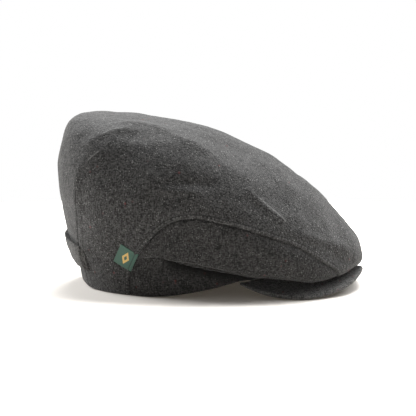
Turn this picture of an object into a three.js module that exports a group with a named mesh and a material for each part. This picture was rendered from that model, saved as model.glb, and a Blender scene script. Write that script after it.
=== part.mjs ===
import * as THREE from 'three';

// Tweed flat cap, lying on its opening. Millimetres, +X to the peak, +Y to the wearer's left, +Z up.
// Directions are turns in degrees from the peak, about the upright axis of the head opening.
const CLOTH = 2.4; // tweed with its backing
const SEAM_GAP = 0.5; // between two panels along a seam
const LAY_GAP = 0.35; // between pieces that lie on each other

const OPENING_HALF_LENGTH = 100;
const OPENING_HALF_WIDTH = 89;
const FRONT_REACH = 152.5; // from the axis to the crown's nose
const BACK_REACH = 118.5;
const SIDE_REACH = 102;
const CROWN_HEIGHT = 152;
const CROWN_TILT = 0.2; // the top falls this much per mm toward the peak over the axis
const HEM_LEVEL_FROM = 105; // the hem stands on the table from this turn
const HEM_LEVEL_TO = 135;
const HEM_BACK_RISE = 5;

const PEAK_BOARD = 4; // board with cloth on both sides
const PEAK_DEPTH = 54; // from the opening to the tip
const PEAK_TURN = 53.5; // half of the opening that the peak takes
const PEAK_THINS = 0.6; // share of the board's thickness that is gone at its two ends
const PEAK_TIP_RISE = 13; // underside of the tip
const PEAK_SLOPE = 0.13; // rises this much per mm toward the forehead
const PEAK_CAMBER = 20.8; // its sides hang this much lower than its middle
const PEAK_HALF_WIDTH = 85;
const PEAK_BEND = 30; // half width of the rounder middle
const PEAK_ROUNDING = 1.3; // of the outer edge

const STRAP_THICK = 3.2;
const STRAP_WIDE = 22.5;
const STRAP_TURN = 39; // half of its span round the back
const LABEL_THICK = 0.8;
const LABEL_LONG = 17.6;
const LABEL_TALL = 18.5;
const LABEL_OVER = 2.2; // how far its sewn end reaches over the seam
const LABEL_TILT = 31; // its free end stands higher
const LABEL_LIFT = 1.5; // stands off the cloth
const BAND_THICK = 1.2;
const BAND_TALL = 26;
const BAND_SHOW = 1.1; // how far it peeps out below the raised hem
const BAND_BLEND = 8; // degrees over which its foot steps from the peak up to the hem

const FOLD_WIDE = 8;
const FOLD_HIGH = 2;

// Crown profiles: [share of the reach in that direction, share of the height]. tuck: top of the fold's
// underside; rim: lowest of the overhang; side: widest. Riding rows count tuck and rim from the peak's top.
const PROFILES = [
  { turn: 0, rides: 1, tuck: [0.839, 0.0084], rim: [0.967, 0.007], side: [0.99, 0.247],
    shoulder: [0.886, 0.386], brow: [0.683, 0.603], top: [0.361, 0.797] },
  { turn: 30, rides: 1, tuck: [0.908, 0.031], rim: [1.004, 0.046], side: [1.044, 0.204],
    shoulder: [0.932, 0.424], brow: [0.728, 0.625], top: [0.375, 0.82] },
  { turn: 60, rides: 0, tuck: [0.901, 0.184], rim: [0.965, 0.1645], side: [1.0285, 0.303],
    shoulder: [0.947, 0.52], brow: [0.7645, 0.7105], top: [0.419, 0.86] },
  { turn: 90, rides: 0, tuck: [0.897, 0.247], rim: [0.956, 0.227], side: [1, 0.395],
    shoulder: [0.951, 0.618], brow: [0.784, 0.796], top: [0.441, 0.908] },
  { turn: 120, rides: 0, tuck: [0.92, 0.158], rim: [0.948, 0.243], side: [1.0145, 0.421],
    shoulder: [0.977, 0.651], brow: [0.825, 0.842], top: [0.474, 0.941] },
  { turn: 150, rides: 0, tuck: [0.915, 0.158], rim: [0.959, 0.2895], side: [1.027, 0.5395],
    shoulder: [1.007, 0.7895], brow: [0.875, 0.937], top: [0.5015, 0.98] },
  { turn: 180, rides: 0, tuck: [0.888, 0.1645], rim: [0.946, 0.303], side: [1.018, 0.618],
    shoulder: [0.981, 0.873], brow: [0.893, 0.9945], top: [0.506, 0.997] },
];
const MIDDLE = 0.941; // height over the axis, as a share
const POINTS = ['tuck', 'rim', 'side', 'shoulder', 'brow', 'top'];
const RISES = [0, 0.115, 0.177, 0.292, 0.44, 0.576, 0.77, 1]; // hem, those points, and the axis

// Side seam on the wearer's right, from the hem behind the temple to the front rim.
const SEAM = [
  { turn: 115, rise: 0 }, { turn: 112.8, rise: 0.09 }, { turn: 107, rise: 0.18 }, { turn: 99, rise: 0.256 },
  { turn: 89, rise: 0.31 }, { turn: 77, rise: 0.342 }, { turn: 66, rise: 0.3545 }, { turn: 55, rise: 0.362 },
  { turn: 45, rise: 0.357 }, { turn: 36, rise: 0.339 }, { turn: 28.5, rise: 0.291 }, { turn: 22.5, rise: 0.236 },
  { turn: 18.5, rise: 0.15 }, { turn: 17.5, rise: 0 },
];
const LABEL_AT = 0.112; // share of the seam where the label leaves it

// How far the peak reaches past the opening, as shares of its turn and depth.
const PEAK_PLAN = [
  { turn: 0, out: 1 }, { turn: 0.21, out: 0.989 }, { turn: 0.386, out: 0.952 }, { turn: 0.526, out: 0.868 },
  { turn: 0.667, out: 0.743 }, { turn: 0.807, out: 0.48 }, { turn: 0.912, out: 0.254 }, { turn: 1, out: 0.034 },
];

// Soft dents (-) and ridges (+) of the cloth from one [turn, rise] to another, positive turns on the
// wearer's right; wide and high are shares of the usual fold's.
const FOLDS = [
  { from: [140, 0.67], to: [112, 0.742], wide: 0.9, high: 0.65 },
  { from: [108, 0.742], to: [66, 0.64], wide: 0.9, high: 0.75 },
  { from: [137, 0.61], to: [80, 0.62], wide: 1, high: -0.8 },
  { from: [138, 0.41], to: [128, 0.53], wide: 1, high: -0.9 },
  { from: [96, 0.45], to: [64, 0.5], wide: 0.9, high: -0.8 },
  { from: [104, 0.385], to: [82, 0.398], wide: 1.1, high: -1 },
  { from: [49, 0.5], to: [37, 0.42], wide: 0.9, high: -1.1 },
  { from: [42, 0.39], to: [27, 0.37], wide: 0.9, high: -1.2 },
  { from: [34, 0.43], to: [12, 0.36], wide: 1.1, high: 0.8 },
  { from: [-132, 0.4], to: [-120, 0.54], wide: 1.1, high: -0.9 },
  { from: [-100, 0.7], to: [-60, 0.62], wide: 1.1, high: 0.7 },
  { from: [-90, 0.42], to: [-58, 0.47], wide: 1.1, high: -1 },
  { from: [-46, 0.5], to: [-30, 0.38], wide: 1.1, high: -0.9 },
];

const PANEL_ROWS = 19;
const SIDE_ROWS = 8;
const SEAM_STEPS = 30;
const FRONT_STEPS = 6; // of the main panel's hem between the seams, in front and behind
const BACK_STEPS = 20;
const PEAK_STEPS = 40;
const STRAP_STEPS = 24;
const BAND_STEPS = 76;

const rad = THREE.MathUtils.degToRad;
const mix = THREE.MathUtils.lerp;
const vec = (x, y, z) => new THREE.Vector3(x, y, z);

// Smooth curve through points, with the slopes at both ends given.
function spline(xs, ys, startSlope, endSlope) {
  const n = xs.length;
  const slope = new Array(n);
  const carry = new Array(n).fill(0);
  slope[0] = startSlope;
  for (let i = 1; i < n - 1; i += 1) {
    const before = 1 / (xs[i] - xs[i - 1]);
    const after = 1 / (xs[i + 1] - xs[i]);
    const pull = 3 * ((ys[i] - ys[i - 1]) * before ** 2 + (ys[i + 1] - ys[i]) * after ** 2);
    const main = 2 * (before + after) - before * carry[i - 1];
    carry[i] = after / main;
    slope[i] = (pull - before * slope[i - 1]) / main;
  }
  slope[n - 1] = endSlope;
  for (let i = n - 2; i > 0; i -= 1) slope[i] -= carry[i] * slope[i + 1];
  return (x) => {
    let i = 0;
    while (i < n - 2 && x > xs[i + 1]) i += 1;
    const span = xs[i + 1] - xs[i];
    const t = (x - xs[i]) / span;
    const a = slope[i] * span - (ys[i + 1] - ys[i]);
    const b = -slope[i + 1] * span + (ys[i + 1] - ys[i]);
    return mix(ys[i], ys[i + 1], t) + t * (1 - t) * ((1 - t) * a + t * b);
  };
}

// Radius of an ellipse, with another half length behind, in one direction.
function ellipse(turn, front, back, side) {
  const x = Math.cos(rad(turn));
  return 1 / Math.hypot(x / (x > 0 ? front : back), Math.sin(rad(turn)) / side);
}

const fold = (turn) => Math.abs(((turn + 540) % 360) - 180);
const opening = (turn) => ellipse(turn, OPENING_HALF_LENGTH, OPENING_HALF_LENGTH, OPENING_HALF_WIDTH);
const reach = (turn) => ellipse(turn, FRONT_REACH, BACK_REACH, SIDE_REACH);

// Underside of the peak at a place in plan.
function peakUnder(x, y) {
  const bend = (away) => Math.hypot(1, away / PEAK_BEND) - 1;
  const drop = PEAK_CAMBER * bend(y) / bend(PEAK_HALF_WIDTH);
  return Math.max(PEAK_TIP_RISE + PEAK_SLOPE * (OPENING_HALF_LENGTH + PEAK_DEPTH - x) - drop, 0);
}

function peakUnderAt(turn, out) {
  return peakUnder(out * Math.cos(rad(turn)), out * Math.sin(rad(turn)));
}

// Height of the crown's edge: on the peak, then down to the table and slightly up at the back.
function hemUp(turn) {
  const turned = Math.min(turn, PEAK_TURN);
  const onPeak = peakUnderAt(turned, opening(turned)) + PEAK_BOARD + LAY_GAP;
  const level = THREE.MathUtils.clamp((HEM_LEVEL_FROM - turn) / (HEM_LEVEL_FROM - PEAK_TURN), 0, 1);
  return onPeak * level ** 1.5 + HEM_BACK_RISE * THREE.MathUtils.smoothstep(turn, HEM_LEVEL_TO, 180);
}

const turns = PROFILES.map((row) => row.turn);
const outs = {};
const ups = {};
for (const name of POINTS) {
  const out = PROFILES.map((row) => row[name][0] * reach(row.turn));
  const up = PROFILES.map((row, i) => {
    const onPeak = name === 'tuck' || name === 'rim' ? row.rides : 0;
    return onPeak * (peakUnderAt(row.turn, out[i]) + PEAK_BOARD + LAY_GAP) + row[name][1] * CROWN_HEIGHT;
  });
  outs[name] = spline(turns, out, 0, 0);
  ups[name] = spline(turns, up, 0, 0);
}

// The crown's profile at one direction, as two curves over the rise.
const profiles = new Map();
function profile(turn) {
  const key = Math.round(turn * 1e6);
  if (!profiles.has(key)) {
    const out = [opening(turn), ...POINTS.map((name) => outs[name](turn)), 0];
    const up = [hemUp(turn), ...POINTS.map((name) => ups[name](turn)), MIDDLE * CROWN_HEIGHT];
    const inward = -out[6] / (1 - RISES[6]) * 1.02;
    const curve = (list, end) => spline(RISES, list, (list[1] - list[0]) / RISES[1], end);
    profiles.set(key, {
      out: curve(out, inward),
      up: curve(up, -CROWN_TILT * Math.cos(rad(turn)) * inward),
    });
  }
  return profiles.get(key);
}

function plainPoint(turn, rise) {
  const line = profile(fold(turn));
  const out = line.out(rise);
  return vec(out * Math.cos(rad(turn)), out * Math.sin(rad(turn)), Math.max(line.up(rise), 0));
}

// Offsets on the crown in mm, taken as flat: along the hem and up the profile.
const MM_PER_TURN = rad(SIDE_REACH);
const MM_PER_RISE = 1.6 * CROWN_HEIGHT;

function foldHeight(side, rise) {
  let sum = 0;
  for (const { from, to, wide, high } of FOLDS) {
    const x = (side - from[0]) * MM_PER_TURN;
    const y = (rise - from[1]) * MM_PER_RISE;
    const toX = (to[0] - from[0]) * MM_PER_TURN;
    const toY = (to[1] - from[1]) * MM_PER_RISE;
    const share = THREE.MathUtils.clamp((x * toX + y * toY) / (toX ** 2 + toY ** 2), 0, 1);
    const away = Math.hypot(x - share * toX, y - share * toY);
    sum += high * FOLD_HIGH * Math.exp(-((away / (wide * FOLD_WIDE)) ** 2));
  }
  return sum;
}

function normalOf(surface, turn, rise) {
  if (rise > 0.995) return vec(CROWN_TILT, 0, 1).normalize();
  const h = 0.002;
  const low = Math.max(rise - h, 0);
  const across = surface(turn + 0.4, rise).sub(surface(turn - 0.4, rise));
  const along = surface(turn, rise + h).sub(surface(turn, low));
  return across.cross(along).normalize();
}

function crownPoint(turn, rise) {
  const side = 180 - ((turn + 540) % 360);
  const height = foldHeight(side, rise);
  return plainPoint(turn, rise).addScaledVector(normalOf(plainPoint, turn, rise), height);
}

const crownNormal = (turn, rise) => normalOf(crownPoint, turn, rise);

const crownAt = (turn, rise, off) => crownPoint(turn, rise).addScaledVector(crownNormal(turn, rise), off);

// One closed solid from two matching grids of points, outer and inner.
function shell(name, colour, outer, inner, closed) {
  const rows = outer.length;
  const columns = outer[0].length;
  const positions = [];
  const triangle = (a, b, c) => {
    if (a.distanceTo(b) < 0.002 || b.distanceTo(c) < 0.002 || c.distanceTo(a) < 0.002) return;
    positions.push(a.x, a.y, a.z, b.x, b.y, b.z, c.x, c.y, c.z);
  };
  const quad = (a, b, c, d) => {
    const other = b.distanceTo(d) < a.distanceTo(c) - 0.001;
    triangle(a, b, other ? d : c);
    triangle(other ? b : a, c, d);
  };
  const steps = closed ? columns : columns - 1;
  for (let i = 0; i < rows - 1; i += 1) {
    for (let j = 0; j < steps; j += 1) {
      const k = (j + 1) % columns;
      quad(outer[i][j], outer[i][k], outer[i + 1][k], outer[i + 1][j]);
      quad(inner[i][j], inner[i + 1][j], inner[i + 1][k], inner[i][k]);
    }
  }
  const last = rows - 1;
  for (let j = 0; j < steps; j += 1) {
    const k = (j + 1) % columns;
    quad(outer[0][k], outer[0][j], inner[0][j], inner[0][k]);
    if (outer[last][j].distanceTo(outer[last][k]) > 0.01) {
      quad(outer[last][j], outer[last][k], inner[last][k], inner[last][j]);
    }
  }
  if (!closed) {
    const end = columns - 1;
    for (let i = 0; i < last; i += 1) {
      quad(outer[i][0], outer[i + 1][0], inner[i + 1][0], inner[i][0]);
      quad(outer[i + 1][end], outer[i][end], inner[i][end], inner[i + 1][end]);
    }
  }
  const geometry = new THREE.BufferGeometry();
  geometry.setAttribute('position', new THREE.Float32BufferAttribute(positions, 3));
  geometry.computeVertexNormals();
  const mesh = new THREE.Mesh(geometry, new THREE.MeshStandardMaterial({ color: colour, roughness: 0.95 }));
  mesh.name = name;
  return mesh;
}

const grid = (rows, columns, at) => Array.from({ length: rows }, (_, i) => (
  Array.from({ length: columns }, (__, j) => at(i, j))));

// Places along the seam, moved off it: up for the main panel, down for the side one.
const seamShares = SEAM.map((row, i) => i / (SEAM.length - 1));
const seamTurn = spline(seamShares, SEAM.map((row) => row.turn), -25, -10);
const seamRise = spline(seamShares, SEAM.map((row) => row.rise), 1.2, -2.2);
function seamPlace(share, off) {
  const before = Math.max(share - 0.004, 0);
  const after = Math.min(share + 0.004, 1);
  const forward = (seamTurn(before) - seamTurn(after)) * MM_PER_TURN;
  const up = (seamRise(after) - seamRise(before)) * MM_PER_RISE;
  const length = Math.hypot(forward, up);
  return {
    turn: seamTurn(share) + (up / length) * (off / MM_PER_TURN),
    rise: Math.max(seamRise(share) + (forward / length) * (off / MM_PER_RISE), 0),
  };
}

// Behind the peak the hem's underside is level, so that the cap stands on it.
function hemInside(turn, outside, inside) {
  const level = THREE.MathUtils.smoothstep(fold(turn), PEAK_TURN, PEAK_TURN + 18);
  const flat = outside.clone().sub(vec(CLOTH * Math.cos(rad(turn)), CLOTH * Math.sin(rad(turn)), 0));
  return inside.clone().lerp(flat, level);
}

// Shares of the seam, from the hem to the peak, that are evenly spaced along the real seam.
const seamSteps = (() => {
  const fine = Array.from({ length: 40 * SEAM_STEPS + 1 }, (_, i) => i / (40 * SEAM_STEPS));
  const points = fine.map((share) => crownPoint(seamTurn(share), Math.max(seamRise(share), 0)));
  const along = [0];
  for (let i = 1; i < fine.length; i += 1) along.push(along[i - 1] + points[i].distanceTo(points[i - 1]));
  return Array.from({ length: SEAM_STEPS + 1 }, (_, k) => {
    const want = (k / SEAM_STEPS) * along[fine.length - 1];
    return fine[Math.max(along.findIndex((length) => length >= want - 1e-9), 0)];
  });
})();

function mainPanel() {
  const places = [];
  for (let i = 0; i <= SEAM_STEPS; i += 1) {
    const { turn, rise } = seamPlace(seamSteps[SEAM_STEPS - i], SEAM_GAP / 2);
    places.push({ turn, rise });
  }
  const rear = places[SEAM_STEPS].turn;
  for (let i = 1; i < BACK_STEPS; i += 1) places.push({ turn: mix(rear, 360 - rear, i / BACK_STEPS), rise: 0 });
  for (let i = SEAM_STEPS; i >= 0; i -= 1) places.push({ turn: 360 - places[i].turn, rise: places[i].rise });
  const front = places[0].turn;
  for (let i = 1; i < FRONT_STEPS; i += 1) {
    places.push({ turn: mix(360 - front, 360 + front, i / FRONT_STEPS), rise: 0 });
  }
  const columns = places.length;
  const at = (off) => (i, j) => {
    const share = i / PANEL_ROWS;
    const even = ((j + FRONT_STEPS / 2) / columns) * 360;
    const spread = THREE.MathUtils.smoothstep(share, 0, 0.75);
    const rise = mix(places[j].rise, 1, share * (1.25 - 0.25 * share));
    return crownAt(mix(places[j].turn, even, spread), rise, off);
  };
  const outer = grid(PANEL_ROWS + 1, columns, at(0));
  const inner = grid(PANEL_ROWS + 1, columns, at(-CLOTH));
  places.forEach(({ turn, rise }, j) => {
    if (rise < 1e-6) inner[0][j] = hemInside(turn, outer[0][j], inner[0][j]);
  });
  return shell('main_panel', 0x54534f, outer, inner, true);
}

function sidePanel(name, hand) {
  const place = (j) => seamPlace(seamSteps[hand > 0 ? SEAM_STEPS - j : j], -SEAM_GAP / 2);
  const at = (off) => (i, j) => {
    const { turn, rise } = place(j);
    return crownAt(360 + hand * turn, rise * (i / SIDE_ROWS), off);
  };
  const outer = grid(SIDE_ROWS + 1, SEAM_STEPS + 1, at(0));
  const inner = grid(SIDE_ROWS + 1, SEAM_STEPS + 1, at(-CLOTH));
  inner[0].forEach((inside, j) => {
    inner[0][j] = hemInside(360 + hand * place(j).turn, outer[0][j], inside);
  });
  return shell(name, 0x3d3c3b, outer, inner, false);
}

const peakPlan = spline(PEAK_PLAN.map((row) => row.turn), PEAK_PLAN.map((row) => row.out), 0, -2.6);

function peak() {
  const shares = [0, 0.25, 0.5, 0.75, 1];
  const last = shares.length;
  const at = (top) => (i, j) => {
    const turn = mix(-PEAK_TURN, PEAK_TURN, j / PEAK_STEPS);
    const depth = PEAK_DEPTH * peakPlan(Math.abs(turn) / PEAK_TURN);
    const rounding = Math.min(PEAK_ROUNDING, depth * 0.4);
    const out = opening(turn) + (i === last ? depth : (depth - rounding) * shares[i]);
    const thin = PEAK_THINS * THREE.MathUtils.smoothstep(Math.abs(turn) / PEAK_TURN, 0.8, 1);
    const thick = PEAK_BOARD * (1 - thin);
    const edge = i === last ? 0.4 * thick : 0;
    const up = peakUnderAt(turn, out) + PEAK_BOARD - (top ? edge : thick - edge);
    return vec(out * Math.cos(rad(turn)), out * Math.sin(rad(turn)), up);
  };
  const rows = last + 1;
  const columns = PEAK_STEPS + 1;
  return shell('peak', 0x3a3938, grid(rows, columns, at(false)), grid(rows, columns, at(true)), false);
}

// The back strap lies round the crown's lower back, a little lower at its ends.
function backStrap() {
  const rows = 4;
  const at = (off) => (i, j) => {
    const side = mix(-1, 1, j / STRAP_STEPS);
    const middle = mix(RISES[1] + 0.031, RISES[1] + 0.016, Math.abs(side));
    const up = STRAP_WIDE * 0.7 * (i / (rows - 1) - 0.5) / MM_PER_RISE * 1.12;
    return crownAt(180 + side * STRAP_TURN, middle + up, off);
  };
  const columns = STRAP_STEPS + 1;
  const outer = grid(rows, columns, at(LAY_GAP + STRAP_THICK));
  return shell('back_strap', 0x4a4946, outer, grid(rows, columns, at(LAY_GAP)), false);
}

// The label leaves the right seam backward and hangs flat, just off the cloth.
function labelTab() {
  const size = 4;
  const seam = seamPlace(LABEL_AT, SEAM_GAP);
  const start = crownPoint(-seam.turn, seam.rise);
  const half = rad(LABEL_LONG / 2) / SIDE_REACH * (180 / Math.PI) ** 2;
  const normal = crownNormal(-seam.turn - half, seam.rise);
  const level = vec(0, 0, 1).cross(normal).normalize();
  const up = normal.clone().cross(level);
  const back = level.clone().multiplyScalar(-Math.cos(rad(LABEL_TILT)));
  back.addScaledVector(up, Math.sin(rad(LABEL_TILT)));
  const high = normal.clone().cross(back).negate();
  const at = (thick) => (i, j) => start.clone()
    .addScaledVector(back, LABEL_LONG * (1 - j / (size - 1)) - LABEL_OVER)
    .addScaledVector(high, LABEL_TALL * (i / (size - 1) - 0.5))
    .addScaledVector(normal, LABEL_LIFT + thick);
  return shell('label_tab', 0x62766b, grid(size, size, at(LABEL_THICK)), grid(size, size, at(0)), false);
}

function sweatband() {
  const rows = 4;
  const at = (thick) => (i, j) => {
    const turn = (j / BAND_STEPS) * 360;
    const turned = fold(turn);
    const behind = THREE.MathUtils.smoothstep(turned, PEAK_TURN - BAND_BLEND, PEAK_TURN + BAND_BLEND);
    const closing = THREE.MathUtils.smoothstep(turned, PEAK_TURN - 3 * BAND_BLEND, PEAK_TURN - 1);
    const inset = LAY_GAP + CLOTH * closing;
    const foot = mix(peakUnderAt(turn, opening(turn)), hemUp(turned), behind);
    const low = Math.max(foot - BAND_SHOW, LAY_GAP);
    const up = mix(low, foot + BAND_TALL, i / (rows - 1));
    const over = Math.max(ups.tuck(turned) - hemUp(turned), CLOTH);
    const lean = Math.min(outs.tuck(turned) - opening(turn), 0) / over;
    const out = opening(turn) - inset - thick + lean * Math.max(up - hemUp(turned), 0);
    return vec(out * Math.cos(rad(turn)), out * Math.sin(rad(turn)), up);
  };
  const outer = grid(rows, BAND_STEPS, at(0));
  return shell('sweatband', 0xb9b2a2, outer, grid(rows, BAND_STEPS, at(BAND_THICK)), true);
}

const cap = new THREE.Group();
cap.name = 'tweed_cap';
cap.add(mainPanel());
cap.add(sidePanel('side_panel_right', -1));
cap.add(sidePanel('side_panel_left', 1));
cap.add(peak());
cap.add(backStrap());
cap.add(labelTab());
cap.add(sweatband());

// Middle of the length and width over the origin, lowest point on the table.
const box = new THREE.Box3().setFromObject(cap);
cap.position.set(-(box.min.x + box.max.x) / 2, -(box.min.y + box.max.y) / 2, -box.min.z);

export { crownPoint, crownNormal };
export default cap;
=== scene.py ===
import math
import bpy
import numpy as np
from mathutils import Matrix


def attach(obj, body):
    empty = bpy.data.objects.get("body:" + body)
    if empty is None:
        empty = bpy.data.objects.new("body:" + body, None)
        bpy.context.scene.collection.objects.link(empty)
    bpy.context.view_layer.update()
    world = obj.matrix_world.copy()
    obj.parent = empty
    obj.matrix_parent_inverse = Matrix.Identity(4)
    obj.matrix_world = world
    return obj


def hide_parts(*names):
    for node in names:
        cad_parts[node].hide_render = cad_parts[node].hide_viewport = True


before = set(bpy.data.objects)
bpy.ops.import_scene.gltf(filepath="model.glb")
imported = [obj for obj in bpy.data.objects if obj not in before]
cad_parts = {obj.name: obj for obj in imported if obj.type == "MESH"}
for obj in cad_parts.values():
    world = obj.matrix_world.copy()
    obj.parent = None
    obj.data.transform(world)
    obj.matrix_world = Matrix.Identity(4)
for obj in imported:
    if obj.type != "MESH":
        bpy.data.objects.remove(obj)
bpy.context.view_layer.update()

# Camera. The photograph looks at the wearer's right side from a little in front of it, about 9.5 degrees
# above the table and 1.15 m away, so it comes first and nothing later moves it.
camera_turn = math.radians(10.0)
camera_rise = math.radians(9.5)
camera_away = 1.15
camera_over = 0.0016          # stands this far toward the front
camera_aim = (-0.002, -0.0006, 0.0672)
bpy.ops.object.select_all(action="DESELECT")
bpy.ops.object.camera_add(location=(
    camera_over + camera_away * math.cos(camera_rise) * math.sin(camera_turn),
    -camera_away * math.cos(camera_rise) * math.cos(camera_turn),
    camera_away * math.sin(camera_rise)))
camera = bpy.context.object
camera.name = "camera"
bpy.ops.object.empty_add(type="PLAIN_AXES", location=camera_aim)
aim_mark = bpy.context.object
track = camera.constraints.new("TRACK_TO")
track.target = aim_mark
track.track_axis = "TRACK_NEGATIVE_Z"
track.up_axis = "UP_Y"
bpy.ops.object.select_all(action="DESELECT")
camera.select_set(True)
bpy.context.view_layer.objects.active = camera
bpy.ops.object.visual_transform_apply()
camera.constraints.remove(track)
bpy.data.objects.remove(aim_mark)
camera.data.sensor_width = 36.0
camera.data.lens = 109.5
camera.data.dof.use_dof = False
bpy.context.scene.camera = camera

# Crown panel. One big piece of grey wool tweed makes the top, front and back of the crown. It is cut full,
# so it bags out over the peak in front and stands tall behind, and it is sewn to both side panels, to the
# peak and to the inner band. Two darts draw its back in, and the strap's ends are caught in them.
MM = 0.001
AXIS_X = -16.575            # the head opening's axis, mm from the middle of the length
CLOTH = 2.2                 # tweed with its backing, mm
OPENING = (100.0, 89.0)     # half length and half width of the head opening
REACH = (152.5, 118.5, 102.0)   # from the axis to the nose, the back and the side
CROWN_HEIGHT = 152.0
CROWN_TILT = 0.2
POLE_UP = 0.941             # height of the top over the axis, as a share
TURN_MM = math.radians(REACH[2])    # about so many mm of cloth for a degree of turn
RISE_MM = 1.6 * CROWN_HEIGHT        # and for the whole way up
HEM_LEVEL = (105.0, 135.0)  # the hem stands on the table between these turns
HEM_BACK_RISE = 5.0
LAY_GAP = 0.35
PEAK = dict(board=4.0, depth=54.0, turn=53.5, thins=0.6, tip_rise=13.0, slope=0.13, camber=20.8,
            half=85.0, bend=30.0)
PROFILE_TURNS = np.array([0.0, 30.0, 60.0, 90.0, 120.0, 150.0, 180.0])
PROFILE_RISES = np.array([0.0, 0.115, 0.177, 0.292, 0.44, 0.576, 0.77, 1.0])
PROFILE_RIDES = (1, 1, 0, 0, 0, 0, 0)
# tuck, rim, side, shoulder, brow and top at each of the turns: share of the reach, share of the height
PROFILE_OUT = np.array([
    [0.839, 0.967, 0.99, 0.886, 0.683, 0.361],
    [0.908, 1.004, 1.044, 0.932, 0.728, 0.375],
    [0.901, 0.965, 1.0285, 0.947, 0.7645, 0.419],
    [0.897, 0.956, 1.0, 0.951, 0.784, 0.441],
    [0.92, 0.948, 1.0145, 0.977, 0.825, 0.474],
    [0.915, 0.959, 1.027, 1.007, 0.875, 0.5015],
    [0.888, 0.946, 1.018, 0.981, 0.893, 0.506]])
PROFILE_UP = np.array([
    [0.0084, 0.007, 0.247, 0.386, 0.603, 0.797],
    [0.031, 0.046, 0.204, 0.424, 0.625, 0.82],
    [0.184, 0.1645, 0.303, 0.52, 0.7105, 0.86],
    [0.247, 0.227, 0.395, 0.618, 0.796, 0.908],
    [0.158, 0.243, 0.421, 0.651, 0.842, 0.941],
    [0.158, 0.2895, 0.5395, 0.7895, 0.937, 0.98],
    [0.1645, 0.303, 0.618, 0.873, 0.9945, 0.997]])


def smooth_line(xs, ys, start, end, x):
    """Smooth curve through points with given end slopes; ys may hold a row of values for each point."""
    ys = np.asarray(ys, float)
    n = len(xs)
    slope = [None] * n
    carry = [0.0] * n
    slope[0] = start + 0.0 * ys[0]
    for i in range(1, n - 1):
        before = 1.0 / (xs[i] - xs[i - 1])
        after = 1.0 / (xs[i + 1] - xs[i])
        pull = 3.0 * ((ys[i] - ys[i - 1]) * before ** 2 + (ys[i + 1] - ys[i]) * after ** 2)
        main = 2.0 * (before + after) - before * carry[i - 1]
        carry[i] = after / main
        slope[i] = (pull - before * slope[i - 1]) / main
    slope[n - 1] = end + 0.0 * ys[0]
    for i in range(n - 2, 0, -1):
        slope[i] = slope[i] - carry[i] * slope[i + 1]
    slope = np.stack(np.broadcast_arrays(*slope))
    x = np.asarray(x, float)
    k = np.clip(np.searchsorted(xs, x, side="left") - 1, 0, n - 2)
    span = np.asarray(xs)[k + 1] - np.asarray(xs)[k]
    t = (x - np.asarray(xs)[k]) / span
    if ys.ndim > 1:
        j = np.arange(ys.shape[1])
        y0, y1, s0, s1 = ys[k, j], ys[k + 1, j], slope[k, j], slope[k + 1, j]
    else:
        y0, y1, s0, s1 = ys[k], ys[k + 1], slope[k], slope[k + 1]
    a = s0 * span - (y1 - y0)
    b = (y1 - y0) - s1 * span
    return y0 + (y1 - y0) * t + t * (1 - t) * ((1 - t) * a + t * b)


def ramp(x, low, high):
    """Smooth step from 0 at low to 1 at high."""
    t = np.clip((np.asarray(x, float) - low) / (high - low), 0.0, 1.0)
    return t * t * (3.0 - 2.0 * t)


def oval(turn, front, back, side):
    """Radius of an oval with its own half length in front and behind."""
    c, s = np.cos(np.radians(turn)), np.sin(np.radians(turn))
    return 1.0 / np.hypot(c / np.where(c > 0, front, back), s / side)


def peak_under(x, y):
    """Height of the peak's underside over the table."""
    bend = lambda away: np.hypot(1.0, away / PEAK["bend"]) - 1.0
    drop = PEAK["camber"] * bend(y) / bend(PEAK["half"])
    return np.maximum(PEAK["tip_rise"] + PEAK["slope"] * (OPENING[0] + PEAK["depth"] - x) - drop, 0.0)


def peak_under_at(turn, out):
    """The same height at a turn and a distance from the axis."""
    return peak_under(out * np.cos(np.radians(turn)), out * np.sin(np.radians(turn)))


def hem_up(turn):
    """Height of the crown's edge: on the peak, then down to the table and slightly up at the back."""
    on = np.minimum(turn, PEAK["turn"])
    on_peak = peak_under_at(on, oval(on, OPENING[0], OPENING[0], OPENING[1])) + PEAK["board"] + LAY_GAP
    level = np.clip((HEM_LEVEL[0] - turn) / (HEM_LEVEL[0] - PEAK["turn"]), 0.0, 1.0)
    return on_peak * level ** 1.5 + HEM_BACK_RISE * ramp(turn, HEM_LEVEL[1], 180.0)


reaches = oval(PROFILE_TURNS, *REACH)
row_out = PROFILE_OUT * reaches[:, None]
row_up = PROFILE_UP * CROWN_HEIGHT
for row, rides in enumerate(PROFILE_RIDES):
    if rides:
        for low_point in (0, 1):
            row_up[row, low_point] += (peak_under_at(PROFILE_TURNS[row], row_out[row, low_point])
                                       + PEAK["board"] + LAY_GAP)


def plain_crown(turn, rise):
    """Points of the crown without its folds, in mm about the opening's axis."""
    turn, rise = np.broadcast_arrays(np.asarray(turn, float), np.asarray(rise, float))
    shape = turn.shape
    turn, rise = turn.ravel(), rise.ravel()
    side = np.abs((turn + 540.0) % 360.0 - 180.0)
    out = [oval(side, OPENING[0], OPENING[0], OPENING[1])]
    up = [hem_up(side)]
    for point in range(6):
        out.append(smooth_line(PROFILE_TURNS, row_out[:, point], 0.0, 0.0, side))
        up.append(smooth_line(PROFILE_TURNS, row_up[:, point], 0.0, 0.0, side))
    out.append(0.0 * side)
    up.append(POLE_UP * CROWN_HEIGHT + 0.0 * side)
    out, up = np.array(out), np.array(up)
    inward = -out[6] / (1.0 - PROFILE_RISES[6]) * 1.02
    away = smooth_line(PROFILE_RISES, out, (out[1] - out[0]) / PROFILE_RISES[1], inward, rise)
    high = smooth_line(PROFILE_RISES, up, (up[1] - up[0]) / PROFILE_RISES[1],
                       -CROWN_TILT * np.cos(np.radians(side)) * inward, rise)
    c, s = np.cos(np.radians(turn)), np.sin(np.radians(turn))
    return np.stack([away * c, away * s, np.maximum(high, 0.0)], axis=1).reshape(shape + (3,))


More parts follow.
